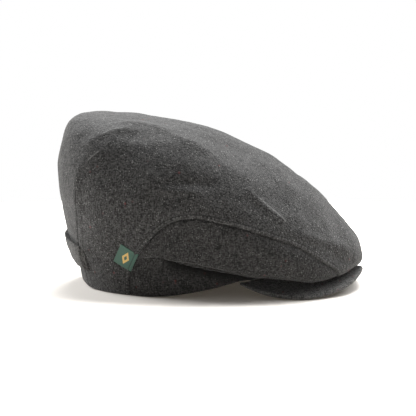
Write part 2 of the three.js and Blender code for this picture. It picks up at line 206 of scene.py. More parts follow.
def crown_normal(turn, rise):
    """Outward normals of the plain crown."""
    h = 0.002
    rise = np.minimum(np.asarray(rise, float), 0.995)
    across = plain_crown(turn + 0.4, rise) - plain_crown(turn - 0.4, rise)
    along = plain_crown(turn, rise + h) - plain_crown(turn, np.maximum(rise - h, 0.0))
    normal = np.cross(across, along)
    return normal / np.linalg.norm(normal, axis=-1, keepdims=True)


# The side seam from the hem behind the temple to the front rim, as turns and rises, on both sides.
SEAM_TURNS = np.array([115, 112.8, 107, 99, 89, 77, 66, 55, 45, 36, 28.5, 22.5, 18.5, 17.5])
SEAM_RISES = np.array([0, 0.09, 0.18, 0.256, 0.31, 0.342, 0.3545, 0.362, 0.357, 0.339, 0.291, 0.236, 0.15, 0])
SEAM_SHARES = np.linspace(0.0, 1.0, len(SEAM_TURNS))
SEAM_GAP = 0.16             # the sewn edges almost touch


def seam_place(share, off):
    """Turn and rise on the seam, moved off it in mm: up for the crown panel, down for a side panel."""
    share = np.asarray(share, float)
    turn_at = lambda s: smooth_line(SEAM_SHARES, SEAM_TURNS, -25.0, -10.0, s)
    rise_at = lambda s: smooth_line(SEAM_SHARES, SEAM_RISES, 1.2, -2.2, s)
    before, after = np.maximum(share - 0.004, 0.0), np.minimum(share + 0.004, 1.0)
    forward = (turn_at(before) - turn_at(after)) * TURN_MM
    up = (rise_at(after) - rise_at(before)) * RISE_MM
    length = np.hypot(forward, up)
    return (turn_at(share) + up / length * off / TURN_MM,
            np.maximum(rise_at(share) + forward / length * off / RISE_MM, 0.0))


def even_shares(count):
    """Shares of the seam that are evenly spaced along it."""
    fine = np.linspace(0.0, 1.0, 1201)
    turn, rise = seam_place(fine, 0.0)
    points = plain_crown(turn, rise)
    along = np.concatenate([[0.0], np.cumsum(np.linalg.norm(np.diff(points, axis=0), axis=1))])
    return np.interp(np.linspace(0.0, along[-1], count), along, fine)


# Folds and dents as lines of (turn, rise), positive turns on the wearer's right, each with a width and a
# height in mm. A crest is a sharp ridge where the cloth turns over, and the others are rounded.
FOLDS = [
    ("crest", [(143, 0.618), (136, 0.703), (128, 0.734), (118, 0.744), (98, 0.716), (81, 0.668), (72, 0.653),
               (60, 0.622)], 9.0, 2.8),
    ("crest", [(142, 0.48), (138.5, 0.53), (135.5, 0.575), (132, 0.625), (127, 0.652), (116, 0.67)], 8.0, 1.6),
    ("crest", [(140.5, 0.26), (139.5, 0.32), (139, 0.38), (138, 0.44), (137, 0.5)], 6.0, 1.3),
    ("valley", [(129, 0.6), (118, 0.62), (104, 0.63)], 10.0, -0.9),
    ("crest", [(142, 0.35), (139, 0.4), (136, 0.444), (133, 0.492), (127, 0.545)], 7.0, 1.0),
    ("valley", [(96, 0.452), (86, 0.462), (78, 0.476), (64, 0.508)], 5.5, -1.8),
    ("ridge", [(98, 0.425), (86, 0.436), (72, 0.462)], 4.5, 1.0),
    ("valley", [(104, 0.384), (94, 0.393), (82, 0.4)], 6.0, -1.8),
    ("crest", [(53, 0.535), (50, 0.51), (47.5, 0.485), (43, 0.455), (37, 0.415)], 5.0, 1.5),
    ("valley", [(55, 0.495), (50, 0.465), (44, 0.437)], 5.5, -0.7),
    ("valley", [(43, 0.378), (38, 0.366), (28, 0.352)], 4.5, -1.3),
    ("ridge", [(36, 0.392), (27, 0.376), (19, 0.345), (12, 0.31)], 5.5, 1.8),
    ("valley", [(26, 0.31), (18, 0.27), (10, 0.24)], 5.5, -1.4),
    ("valley", [(128, 0.28), (118, 0.33), (108, 0.36)], 8.0, -0.7),
    ("valley", [(-132, 0.4), (-127, 0.46), (-120, 0.54)], 7.0, -1.5),
    ("crest", [(-136, 0.66), (-118, 0.73), (-98, 0.715), (-74, 0.65)], 10.0, 1.5),
    ("valley", [(-92, 0.42), (-76, 0.44), (-58, 0.48)], 7.0, -1.4),
    ("valley", [(-47, 0.5), (-39, 0.44), (-30, 0.38)], 5.0, -1.3),
    ("ridge", [(-34, 0.39), (-24, 0.37), (-13, 0.32)], 6.0, 1.2),
    ("valley", [(172, 0.5), (176, 0.56), (180, 0.62), (184, 0.66)], 8.0, -1.0),
    ("valley", [(-168, 0.42), (-160, 0.5), (-154, 0.58)], 8.0, -0.9),
    ("valley", [(24, 0.6), (8, 0.585), (-12, 0.6)], 12.0, -0.9),
]


def line_points(line, count=60):
    """Points along a line of (turn, rise) on the plain crown, with the normals there."""
    places = np.array(line, float)
    steps = np.hypot(np.diff(places[:, 0]) * TURN_MM, np.diff(places[:, 1]) * RISE_MM)
    along = np.concatenate([[0.0], np.cumsum(steps)])
    want = np.linspace(0.0, along[-1], count)
    smooth = [np.interp(want, along, places[:, k]) for k in (0, 1)]
    for _ in range(3):
        for values in smooth:
            values[1:-1] = (values[:-2] + 2.0 * values[1:-1] + values[2:]) / 4.0
    turn, rise = -smooth[0], smooth[1]
    return plain_crown(turn, rise), crown_normal(turn, rise)


def nearest_on(points, line, normals):
    """Signed distance of each point to a line on the surface, plus upward, and the share along it."""
    best = np.full(len(points), 1e9)
    signed = np.zeros(len(points))
    share = np.zeros(len(points))
    for k in range(len(line) - 1):
        step = line[k + 1] - line[k]
        t = np.clip((points - line[k]) @ step / (step @ step), 0.0, 1.0)
        away = points - (line[k] + t[:, None] * step)
        far = np.linalg.norm(away, axis=1)
        closer = far < best
        sideways = np.cross(normals[k], step)
        sideways = sideways if sideways[2] >= 0 else -sideways
        best = np.where(closer, far, best)
        signed = np.where(closer, np.sign(away @ sideways) * far, signed)
        share = np.where(closer, (k + t) / (len(line) - 1), share)
    return signed, share


def fold_heights(points):
    """Sum of all folds at each point, in mm."""
    total = np.zeros(len(points))
    for kind, places, wide, high in FOLDS:
        line, normals = line_points(places)
        far, share = nearest_on(points, line, normals)
        fade = ramp(share, 0.0, 0.22) * (1.0 - ramp(share, 0.78, 1.0))
        fade = np.where((share <= 0.0) | (share >= 1.0), 0.0, fade)
        if kind == "crest":
            total += fade * high * np.exp(-(np.hypot(far, 0.7) - 0.7) / wide)
        else:
            total += fade * high * np.exp(-(far / wide) ** 2)
    return total


waves = np.random.default_rng(21)
WAVES = []
for length, high, count in ((62.0, 0.5, 7), (34.0, 0.28, 9), (17.0, 0.12, 12), (9.0, 0.05, 14)):
    for _ in range(count):
        way = waves.normal(size=3)
        way /= np.linalg.norm(way)
        size = length * waves.uniform(0.8, 1.25)
        WAVES.append((way * 2.0 * math.pi / size, waves.uniform(0.0, 2.0 * math.pi),
                      high / math.sqrt(count) * 1.4))


def slack(points):
    """Uneven drape of worn cloth, the same for every piece because it follows the place."""
    return sum(high * np.sin(points @ way + phase) for way, phase, high in WAVES)


seam_shares = even_shares(260)
seam_turn, seam_rise = seam_place(seam_shares, 0.0)
seam_points = {hand: plain_crown(hand * seam_turn, seam_rise) for hand in (-1, 1)}


def follow(points, line):
    """Distance of each point to a line of points and the way along it, both in mm."""
    best = np.full(len(points), 1e9)
    along = np.zeros(len(points))
    gone = 0.0
    for k in range(len(line) - 1):
        step = line[k + 1] - line[k]
        size = np.linalg.norm(step)
        t = np.clip((points - line[k]) @ step / max(size * size, 1e-9), 0.0, 1.0)
        far = np.linalg.norm(points - (line[k] + t[:, None] * step), axis=1)
        along = np.where(far < best, gone + t * size, along)
        best = np.minimum(best, far)
        gone += size
    return best, along


def distance_to(points, line):
    return follow(points, line)[0]


DARTS = [[(147.0, 0.0), (146.5, 0.06), (145.3, 0.13), (144.5, 0.17), (142.0, 0.22), (140.0, 0.27), (138.6, 0.34),
          (139.0, 0.42)],
         [(-147.0, 0.0), (-146.5, 0.06), (-145.3, 0.13), (-144.5, 0.17), (-142.0, 0.22), (-140.0, 0.27),
          (-138.6, 0.34), (-139.0, 0.42)]]
# The bag of the crown hangs over the band below in one sharp crease along each side.
CREASES = {-1: [(98, 0.165), (94.5, 0.122), (91, 0.092), (87, 0.077), (80, 0.068), (72, 0.063), (62, 0.058),
                (53, 0.055), (45, 0.05), (36, 0.052)],
           1: [(-98, 0.14), (-94, 0.105), (-88, 0.085), (-80, 0.07), (-68, 0.062), (-54, 0.058), (-40, 0.058)]}
# Pale lines along the fold crests on the wearer's right: a painted highlight.
PAINTED_HIGHLIGHTS = [[(122, 0.73), (118, 0.728), (111.2, 0.726), (103.2, 0.716), (95.2, 0.702), (88.8, 0.684), (81.5, 0.666),
         (74, 0.652)],
        [(136.5, 0.55), (135, 0.588), (133.2, 0.62), (130.2, 0.642), (124, 0.655)],
        [(136, 0.425), (134.8, 0.458), (133.5, 0.482), (131.8, 0.502), (129, 0.54)],
        [(50, 0.514), (45.8, 0.49), (42.5, 0.466), (39.5, 0.44), (36.5, 0.405)]]
STRAP_EDGE = [(141, 0.168), (150, 0.171), (165, 0.177), (180, 0.183), (195, 0.177), (210, 0.171), (219, 0.168)]


def crease_away(points, hand):
    """Signed distance to a side's crease, plus above it, and how much of the crease there is."""
    line, normals = line_points(CREASES[hand], 90)
    far, share = nearest_on(points, line, normals)
    there = ramp(share, 0.0, 0.24) * (1.0 - ramp(share, 0.8, 1.0))
    return far, np.where((share <= 0.0) | (share >= 1.0), 0.0, there)


def dressed(turn, rise, edge, main):
    """Crown points in metres with folds, slack cloth, rolled edges, and the ridge sewn beside the seam."""
    plain = plain_crown(turn, rise)
    normal = crown_normal(turn, rise)
    seam = np.minimum(distance_to(plain, seam_points[-1]), distance_to(plain, seam_points[1]))
    calm = ramp(np.minimum(seam, edge), 0.0, 14.0) * 0.75 + 0.25
    height = calm * (fold_heights(plain) + slack(plain))
    height -= 0.55 * np.exp(-(seam / 4.5) ** 2)
    roll = 0.8 * np.exp(-(edge / 0.7) ** 2)
    height -= roll
    if not main:
        far, there = crease_away(plain, -1 if plain[0, 1] < 0 else 1)
        height += there * 2.2 * ramp(far, -0.9, 0.9) * (1.0 - ramp(far, 3.0, 26.0))
        height -= there * 2.0 * (1.0 - ramp(far, -0.9, 0.9)) * ramp(far, -16.0, -2.0) * ramp(edge, 0.5, 7.0)
    if main:
        height += 0.5 * np.exp(-((seam - 2.6) / 1.9) ** 2) * ramp(seam, 0.3, 1.6)
        for dart in DARTS:
            line, normals = line_points(dart, 50)
            far, share = nearest_on(plain, line, normals)
            fade = 1.0 - ramp(share, 0.55, 1.0)
            height += 1.5 * (1.0 - ramp(share, 0.7, 1.0)) * np.exp(-(np.hypot(far, 1.2) - 1.2) / 9.0)
            height -= fade * 0.9 * np.exp(-(far / 1.6) ** 2)
    high = plain + normal * height[:, None]
    high[:, 2] = np.maximum(high[:, 2], 0.0)
    return (high + (AXIS_X, 0.0, 0.0)) * MM


def grid_piece(name, across, up):
    """A flat grid to be shaped, with its two shares at each vertex."""
    bpy.ops.object.select_all(action="DESELECT")
    bpy.ops.mesh.primitive_grid_add(x_subdivisions=across, y_subdivisions=up, size=1.0, location=(0, 0, 0))
    piece = bpy.context.object
    piece.name = name
    piece.data.name = name
    flat = np.empty(len(piece.data.vertices) * 3)
    piece.data.vertices.foreach_get("co", flat)
    flat = flat.reshape(-1, 3) + 0.5
    return piece, np.clip(flat[:, 0], 0.0, 1.0), np.clip(flat[:, 1], 0.0, 1.0)


def set_points(piece, points):
    piece.data.vertices.foreach_set("co", np.ascontiguousarray(points, dtype=float).ravel())
    piece.data.update()


def mark(piece, name, values):
    """Give each vertex a number that the material reads."""
    layer = piece.data.attributes.new(name, "FLOAT", "POINT")
    layer.data.foreach_set("value", np.ascontiguousarray(values, dtype=np.float32))


def sew_up(piece):
    """Merge the grid's meeting edges and its pole."""
    bpy.ops.object.mode_set(mode="EDIT")
    bpy.ops.mesh.select_all(action="SELECT")
    bpy.ops.mesh.remove_doubles(threshold=0.00002)
    bpy.ops.object.mode_set(mode="OBJECT")


def thicken(piece, thick):
    """Give the sheet a wall of thick mm, inward from its outer face."""
    wall = piece.modifiers.new("cloth", "SOLIDIFY")
    wall.thickness = thick * MM
    wall.offset = -1.0
    wall.use_even_offset = False
    bpy.ops.object.modifier_apply(modifier=wall.name)


def finish_smooth(piece, angle=50.0):
    bpy.ops.object.select_all(action="DESELECT")
    piece.select_set(True)
    bpy.context.view_layer.objects.active = piece
    bpy.ops.object.shade_smooth_by_angle(angle=math.radians(angle))


# columns run round the panel's edge: left seam, back hem, right seam, front hem
seam_count, back_count, front_count = 105, 110, 40
half_turn, half_rise = seam_place(even_shares(seam_count + 1)[::-1], SEAM_GAP / 2)
edge_turn = [half_turn]
edge_rise = [half_rise]
rear_turn = half_turn[-1]
edge_turn.append(np.linspace(rear_turn, 360.0 - rear_turn, back_count + 1)[1:-1])
edge_rise.append(np.zeros(back_count - 1))
edge_turn.append(360.0 - half_turn[::-1])
edge_rise.append(half_rise[::-1])
edge_turn.append(np.linspace(360.0 - half_turn[0], 360.0 + half_turn[0], front_count + 1)[1:])
edge_rise.append(np.zeros(front_count))
edge_turn, edge_rise = np.concatenate(edge_turn), np.concatenate(edge_rise)
edge_turn[-1], edge_rise[-1] = half_turn[0] + 360.0, half_rise[0]
around = len(edge_turn) - 1
CROWN_ROWS = 104
crown, u, v = grid_piece("crown_panel", around, CROWN_ROWS)
column = np.rint(u * around).astype(int)
even_turn = (np.arange(around + 1) + front_count / 2) / around * 360.0
grade = np.interp(v, [0.0, 0.06, 0.12, 0.22, 1.0], [0.0, 0.012, 0.034, 0.1, 1.0])
crown_turn = edge_turn[column] + (even_turn[column] - edge_turn[column]) * ramp(grade, 0.0, 0.75)
crown_rise = edge_rise[column] + (1.0 - edge_rise[column]) * grade
plain_edge = plain_crown(edge_turn, edge_rise)
plain_here = plain_crown(crown_turn, crown_rise)
set_points(crown, dressed(crown_turn, crown_rise, distance_to(plain_here, plain_edge), True))
by_right, along_right = follow(plain_here, seam_points[-1])
by_left, along_left = follow(plain_here, seam_points[1])
mark(crown, "seam_away", np.minimum(by_right, by_left))
mark(crown, "seam_along", np.where(by_right < by_left, along_right, along_left))
dart_away = np.full(len(plain_here), 50.0)
for dart in DARTS:
    far, share = nearest_on(plain_here, *line_points(dart, 50))
    far = far + np.sign(far) * 12.0 * ramp(share, 0.8, 1.0)
    dart_away = np.where(np.abs(far) < np.abs(dart_away), far, dart_away)
mark(crown, "dart_away", dart_away)
# marks for the painted highlight along the fold crests
painted_highlight_away = np.full(len(plain_here), 50.0)
for edge_line in PAINTED_HIGHLIGHTS:
    far, share = nearest_on(plain_here, *line_points(edge_line, 50))
    far = np.abs(far) + 3.0 * (1.0 - ramp(share, 0.0, 0.25) * ramp(1.0 - share, 0.0, 0.25))
    painted_highlight_away = np.minimum(far, painted_highlight_away)
mark(crown, "painted_highlight_away", painted_highlight_away)
far, share = nearest_on(plain_here, *line_points(STRAP_EDGE, 60))
strap_ends = ramp(share, 0.0, 0.04) * ramp(1.0 - share, 0.0, 0.04)
mark(crown, "strap_away", far + np.where(far < 0, -9.0, 9.0) * (1.0 - strap_ends))
sew_up(crown)
thicken(crown, CLOTH)
finish_smooth(crown)


def sock(group, name, kind, default=None, low=None, high=None, out=False):
    socket = group.interface.new_socket(name=name, in_out="OUTPUT" if out else "INPUT", socket_type=kind)
    if default is not None:
        socket.default_value = default
    if low is not None:
        socket.min_value, socket.max_value = low, high
    return socket


def math_node(nodes, links, how, a, b=None, clamp=False):
    node = nodes.new("ShaderNodeMath")
    node.operation = how
    node.use_clamp = clamp
    for slot, value in enumerate((a, b)):
        if value is None:
            continue
        if hasattr(value, "links"):
            links.new(value, node.inputs[slot])
        else:
            node.inputs[slot].default_value = value
    return node.outputs[0]


# Tweed as a shared effect: dark wool yarns with lighter and darker fibres, crossed threads, pale and
# rare red flecks and a brushed face.
tweed = bpy.data.node_groups.new("tweed_weave", "ShaderNodeTree")
sock(tweed, "Ground", "NodeSocketColor", (0.04, 0.04, 0.04, 1.0))
sock(tweed, "Light Yarn", "NodeSocketColor", (0.12, 0.12, 0.12, 1.0))
sock(tweed, "Fleck", "NodeSocketColor", (0.4, 0.4, 0.38, 1.0))
sock(tweed, "Fleck Share", "NodeSocketFloat", 0.5, 0.0, 1.0)
sock(tweed, "Yarn Scale", "NodeSocketFloat", 1.0, 0.1, 5.0)
sock(tweed, "Color", "NodeSocketColor", out=True)
sock(tweed, "Roughness", "NodeSocketFloat", out=True)
sock(tweed, "Height", "NodeSocketFloat", out=True)
n, l = tweed.nodes, tweed.links
enter = n.new("NodeGroupInput")
leave = n.new("NodeGroupOutput")
place = n.new("ShaderNodeTexCoord")
scale = n.new("ShaderNodeVectorMath")
scale.operation = "SCALE"
l.new(place.outputs["Object"], scale.inputs[0])
l.new(enter.outputs["Yarn Scale"], scale.inputs["Scale"])


def tweed_noise(size, detail, rough, squeeze=(1.0, 1.0, 1.0), twist=(0.0, 0.0, 0.0)):
    """Noise whose grains are about size mm, stretched along its own axes."""
    fit = n.new("ShaderNodeMapping")
    fit.inputs["Scale"].default_value = squeeze
    fit.inputs["Rotation"].default_value = twist
    l.new(scale.outputs[0], fit.inputs["Vector"])
    noise = n.new("ShaderNodeTexNoise")
    noise.inputs["Scale"].default_value = 1000.0 / size
    noise.inputs["Detail"].default_value = detail
    noise.inputs["Roughness"].default_value = rough
    l.new(fit.outputs[0], noise.inputs["Vector"])
    return noise.outputs["Fac"]


def tweed_flecks(size, cut, soft):
    """Spots in some of the cells that are size mm wide: those whose number is over cut, softly."""
    cells = n.new("ShaderNodeTexVoronoi")
    cells.inputs["Scale"].default_value = 1000.0 / size
    l.new(scale.outputs[0], cells.inputs["Vector"])
    spot = n.new("ShaderNodeMapRange")
    spot.inputs["From Min"].default_value = 0.42
    spot.inputs["From Max"].default_value = 0.12
    l.new(cells.outputs["Distance"], spot.inputs["Value"])
    apart = n.new("ShaderNodeSeparateColor")
    l.new(cells.outputs["Color"], apart.inputs[0])
    pick = n.new("ShaderNodeMapRange")
    pick.inputs["From Min"].default_value = cut
    pick.inputs["From Max"].default_value = cut + soft
    l.new(apart.outputs[0], pick.inputs["Value"])
    return math_node(n, l, "MULTIPLY", spot.outputs[0], pick.outputs[0], True)


fibres = tweed_noise(1.5, 3.0, 0.7)
warp = tweed_noise(1.2, 2.0, 0.6, (1.0, 1.0, 0.28), (0.3, 0.2, 0.4))
weft = tweed_noise(1.2, 2.0, 0.6, (0.28, 1.0, 1.0), (-0.2, 0.5, 0.1))
cloud = tweed_noise(9.0, 3.0, 0.6)
hairs = math_node(n, l, "ADD", math_node(n, l, "ADD", warp, weft), fibres)
hairs = math_node(n, l, "MULTIPLY", hairs, 1.0 / 3.0)
mixed = n.new("ShaderNodeMapRange")
mixed.inputs["From Min"].default_value = 0.44
mixed.inputs["From Max"].default_value = 0.57
l.new(hairs, mixed.inputs["Value"])
cloudy = n.new("ShaderNodeMapRange")
cloudy.inputs["From Min"].default_value = 0.3
cloudy.inputs["From Max"].default_value = 0.7
cloudy.inputs["To Min"].default_value = -0.12
cloudy.inputs["To Max"].default_value = 0.12
l.new(cloud, cloudy.inputs["Value"])
yarn_share = math_node(n, l, "ADD", mixed.outputs[0], cloudy.outputs[0], True)
yarn = n.new("ShaderNodeMix")
yarn.data_type = "RGBA"
l.new(yarn_share, yarn.inputs["Factor"])
l.new(enter.outputs["Ground"], yarn.inputs[6])
l.new(enter.outputs["Light Yarn"], yarn.inputs[7])
pale = tweed_flecks(2.0, 0.68, 0.28)
pale_share = math_node(n, l, "MULTIPLY", pale, enter.outputs["Fleck Share"], True)
flecked = n.new("ShaderNodeMix")
flecked.data_type = "RGBA"
l.new(pale_share, flecked.inputs["Factor"])
l.new(yarn.outputs[2], flecked.inputs[6])
l.new(enter.outputs["Fleck"], flecked.inputs[7])
red = tweed_flecks(4.3, 0.983, 0.01)
reddish = n.new("ShaderNodeMix")
reddish.data_type = "RGBA"
l.new(math_node(n, l, "MULTIPLY", red, 0.55), reddish.inputs["Factor"])
l.new(flecked.outputs[2], reddish.inputs[6])
reddish.inputs[7].default_value = (0.16, 0.035, 0.035, 1.0)
l.new(reddish.outputs[2], leave.inputs["Color"])
rough = n.new("ShaderNodeMapRange")
rough.inputs["To Min"].default_value = 0.98
rough.inputs["To Max"].default_value = 0.86
l.new(yarn_share, rough.inputs["Value"])
l.new(rough.outputs[0], leave.inputs["Roughness"])
nap = math_node(n, l, "MULTIPLY", pale, 0.35)
l.new(math_node(n, l, "ADD", hairs, nap), leave.inputs["Height"])


def tweed_material(name, ground, light, fleck, share):
    """One copy of the tweed with its own colours and share of pale flecks; the side copy is painted darker as
    shade and the peak copy lighter as light.
    """
    cloth = bpy.data.materials.new(name)
    cloth.use_nodes = True
    nodes, links = cloth.node_tree.nodes, cloth.node_tree.links
    surface = nodes["Principled BSDF"]
    weave = nodes.new("ShaderNodeGroup")
    weave.node_tree = tweed
    weave.inputs["Ground"].default_value = ground + (1.0,)
    weave.inputs["Light Yarn"].default_value = light + (1.0,)
    weave.inputs["Fleck"].default_value = fleck + (1.0,)
    weave.inputs["Fleck Share"].default_value = share
    weave.inputs["Yarn Scale"].default_value = 1.25
    links.new(weave.outputs["Color"], surface.inputs["Base Color"])
    links.new(weave.outputs["Roughness"], surface.inputs["Roughness"])
    raised = nodes.new("ShaderNodeBump")
    raised.inputs["Strength"].default_value = 0.7
    raised.inputs["Distance"].default_value = 0.0012
    links.new(weave.outputs["Height"], raised.inputs["Height"])
    links.new(raised.outputs["Normal"], surface.inputs["Normal"])
    surface.inputs["Specular IOR Level"].default_value = 0.15
    surface.inputs["Sheen Weight"].default_value = 0.12
    surface.inputs["Sheen Roughness"].default_value = 0.45
    surface.inputs["Sheen Tint"].default_value = (0.8, 0.8, 0.8, 1.0)
    return cloth


def near_line(nodes, links, away, middle, wide):
    """One on a line at a distance of middle mm from the marked one, falling off over wide mm."""
    off = math_node(nodes, links, "DIVIDE", math_node(nodes, links, "SUBTRACT", away, middle), wide)
    return math_node(nodes, links, "EXPONENT", math_node(
        nodes, links, "MULTIPLY", math_node(nodes, links, "MULTIPLY", off, off), -1.0))


def read_mark(cloth, name):
    """The number that mark gave each vertex."""
    mark_node = cloth.node_tree.nodes.new("ShaderNodeAttribute")
    mark_node.attribute_name = name
    return mark_node.outputs["Fac"]


def tint_line(cloth, line, strength, color, depth):
    """Shade the cloth toward a color and raise it by depth mm along a line, both by the strength."""
    nodes, links = cloth.node_tree.nodes, cloth.node_tree.links
    amount = math_node(nodes, links, "MULTIPLY", line, strength)
    surface = nodes["Principled BSDF"]
    raised = nodes["Bump"]
    shade = nodes.new("ShaderNodeMix")
    shade.data_type = "RGBA"
    links.new(amount, shade.inputs["Factor"])
    links.new(surface.inputs["Base Color"].links[0].from_socket, shade.inputs[6])
    shade.inputs[7].default_value = color
    links.new(shade.outputs[2], surface.inputs["Base Color"])
    lift = math_node(nodes, links, "MULTIPLY", amount, depth / 1.2)
    links.new(math_node(nodes, links, "ADD", raised.inputs["Height"].links[0].from_socket, lift),
              raised.inputs["Height"])


crown_tweed = tweed_material("crown_tweed", (0.015, 0.015, 0.015), (0.076, 0.075, 0.074),
                             (0.36, 0.36, 0.35), 0.55)
nodes, links = crown_tweed.node_tree.nodes, crown_tweed.node_tree.links
# the dart, sunk and dark, the seam's shadow, the shadow over the strap, the topstitched groove beside the
# seam darkened as painted shade with the pale stitches in it, and a painted highlight along the fold crests
from_dart = read_mark(crown_tweed, "dart_away")
tint_line(crown_tweed, near_line(nodes, links, from_dart, 0.0, 0.75), 0.7, (0.008, 0.008, 0.008, 1.0), -0.9)
from_seam = read_mark(crown_tweed, "seam_away")
tint_line(crown_tweed, near_line(nodes, links, from_seam, 0.2, 0.7), 0.45, (0.008, 0.008, 0.008, 1.0), -0.3)
from_strap = read_mark(crown_tweed, "strap_away")
tint_line(crown_tweed, near_line(nodes, links, from_strap, 1.4, 1.5), 0.7, (0.004, 0.004, 0.004, 1.0), -0.4)
# painted shade in the groove beside the seam, which is also sunk in the bump
groove = near_line(nodes, links, from_seam, 4.0, 0.55)
tint_line(crown_tweed, groove, 0.55, (0.012, 0.012, 0.012, 1.0), -0.7)
STITCH = 3.2                # mm from one stitch to the next
sewn_along = read_mark(crown_tweed, "seam_along")
dashes = math_node(nodes, links, "SINE",
                   math_node(nodes, links, "MULTIPLY", sewn_along, 2.0 * math.pi / STITCH))
dashes = math_node(nodes, links, "GREATER_THAN", dashes, 0.25)
stitched = math_node(nodes, links, "MULTIPLY", near_line(nodes, links, from_seam, 2.9, 0.6), dashes)
tint_line(crown_tweed, stitched, 0.3, (0.2, 0.2, 0.195, 1.0), 0.2)
# painted highlight: a pale, slightly raised line along the fold crests
painted_highlight = near_line(nodes, links, read_mark(crown_tweed, "painted_highlight_away"), 0.0, 0.7)
tint_line(crown_tweed, painted_highlight, 0.5, (0.24, 0.24, 0.235, 1.0), 0.3)
crown.data.materials.append(crown_tweed)
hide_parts("main_panel")
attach(crown, "root")

# Side panels. Low pieces of the same tweed close the crown over each temple, sewn in along the curved
# seam. The bag of the crown pulls them out and over, so their lower part tucks back in under a rim.
SIDE_ROWS = 64
SIDE_COLUMNS = 250
# a darker copy of the tweed for the side panels: painted shade
side_tweed = tweed_material("side_tweed", (0.0115, 0.0115, 0.0115), (0.054, 0.053, 0.052),
                            (0.25, 0.25, 0.244), 0.46)
nodes, links = side_tweed.node_tree.nodes, side_tweed.node_tree.links
# painted shade under the crease: a wide soft dark band below it and a darker, sunk one right at it
from_crease = read_mark(side_tweed, "crease_away")
tint_line(side_tweed, near_line(nodes, links, from_crease, -4.4, 3.6), 0.75, (0.006, 0.006, 0.006, 1.0), 0.0)
tint_line(side_tweed, near_line(nodes, links, from_crease, -1.5, 2.0), 0.97, (0.003, 0.003, 0.003, 1.0), -0.8)
side_panels = {}
for hand, side_name, node in ((-1, "side_panel_on_right", "side_panel_right"),
                              (1, "side_panel_on_left", "side_panel_left")):
    panel, u, v = grid_piece(side_name, SIDE_COLUMNS, SIDE_ROWS)
    place_on = np.rint(u * SIDE_COLUMNS).astype(int)
    shares = even_shares(SIDE_COLUMNS + 1)
    line_turn, line_rise = seam_place(shares if hand < 0 else shares[::-1], -SEAM_GAP / 2)
    grade = np.interp(v, [0.0, 0.1, 0.88, 0.95, 1.0], [0.0, 0.05, 0.93, 0.985, 1.0])
    side_turn = hand * line_turn[place_on]
    side_rise = line_rise[place_on] * grade
    top_line = plain_crown(hand * line_turn, line_rise)
    foot_line = plain_crown(hand * line_turn, 0.0 * line_rise)
    here = plain_crown(side_turn, side_rise)
    edge = np.minimum(distance_to(here, top_line), distance_to(here, foot_line))
    set_points(panel, dressed(side_turn, side_rise, edge, False))
    far, there = crease_away(here, hand)
    mark(panel, "crease_away", far + np.where(far < 0, -12.0, 12.0) * (1.0 - np.sqrt(there)))
    sew_up(panel)
    thicken(panel, CLOTH)
    finish_smooth(panel)
    panel.data.materials.append(side_tweed)
    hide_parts(node)
    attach(panel, "root")
    side_panels[hand] = panel

# Peak. A stiff board in the same tweed, cloth on both sides and turned over the rounded outer edge, with
# its back edge sewn under the crown's front. Its middle rises and its sides hang down.
PEAK_SHARES = np.array([0.0, 0.21, 0.386, 0.526, 0.667, 0.807, 0.912, 1.0])
PEAK_OUTS = np.array([1.0, 0.989, 0.952, 0.868, 0.743, 0.48, 0.254, 0.034])
PEAK_COLUMNS = 200
ACROSS = 22
ROUND = 8
peak, u, v = grid_piece("peak_board", PEAK_COLUMNS, 2 * ACROSS + ROUND + 3)
ring = np.rint(v * (2 * ACROSS + ROUND + 3)).astype(int)
peak_turn = -PEAK["turn"] + 2.0 * PEAK["turn"] * u
depth = PEAK["depth"] * smooth_line(PEAK_SHARES, PEAK_OUTS, 0.0, -2.6, np.abs(peak_turn) / PEAK["turn"])
thick = PEAK["board"] * (1.0 - PEAK["thins"] * ramp(np.abs(peak_turn) / PEAK["turn"], 0.8, 1.0))
radius = np.minimum(thick / 2, depth * 0.4)
inner = oval(peak_turn, OPENING[0], OPENING[0], OPENING[1])
out = np.zeros(len(u))
lift = np.zeros(len(u))
for i in range(len(u)):
    step = ring[i]
    if step <= ACROSS:
        out[i] = inner[i] + (depth[i] - radius[i]) * (step / ACROSS) ** 0.85
    elif step <= ACROSS + ROUND:
        swing = math.pi * (step - ACROSS) / ROUND
        out[i] = inner[i] + depth[i] - radius[i] + radius[i] * math.sin(swing)
        lift[i] = 0.5 - 0.5 * math.cos(swing)
    elif step <= 2 * ACROSS + ROUND:
        out[i] = inner[i] + (depth[i] - radius[i]) * ((2 * ACROSS + ROUND - step) / ACROSS) ** 0.85
        lift[i] = 1.0
    else:
        out[i] = inner[i]
        lift[i] = (2 * ACROSS + ROUND + 3 - step) / 3.0
x = out * np.cos(np.radians(peak_turn))
y = out * np.sin(np.radians(peak_turn))
z = peak_under(x, y) + PEAK["board"] - thick * (1.0 - lift)
to_edge = inner + depth - out
groove = 0.3 * np.exp(-((to_edge - 5.0) / 0.7) ** 2) * ramp(depth, 12.0, 20.0)
z += np.where(lift > 0.5, -groove, groove)
soft = 0.25 * slack(np.stack([x, y, z], axis=1)) * ramp(out - inner, 0.0, 6.0)
points = np.stack([x + AXIS_X, y, np.maximum(z + soft, 0.0)], axis=1) * MM
set_points(peak, points)
sew_up(peak)
bpy.ops.object.mode_set(mode="EDIT")
bpy.ops.mesh.select_all(action="DESELECT")
bpy.ops.mesh.select_non_manifold()
bpy.ops.mesh.fill_holes(sides=0)
bpy.ops.mesh.select_all(action="SELECT")
bpy.ops.mesh.normals_make_consistent(inside=False)
bpy.ops.object.mode_set(mode="OBJECT")
finish_smooth(peak, 60.0)
# a lighter copy of the tweed for the peak: painted light
peak_tweed = tweed_material("peak_tweed", (0.03, 0.03, 0.03), (0.145, 0.144, 0.141), (0.28, 0.28, 0.27), 0.42)
peak.data.materials.append(peak_tweed)
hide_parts("peak")
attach(peak, "root")

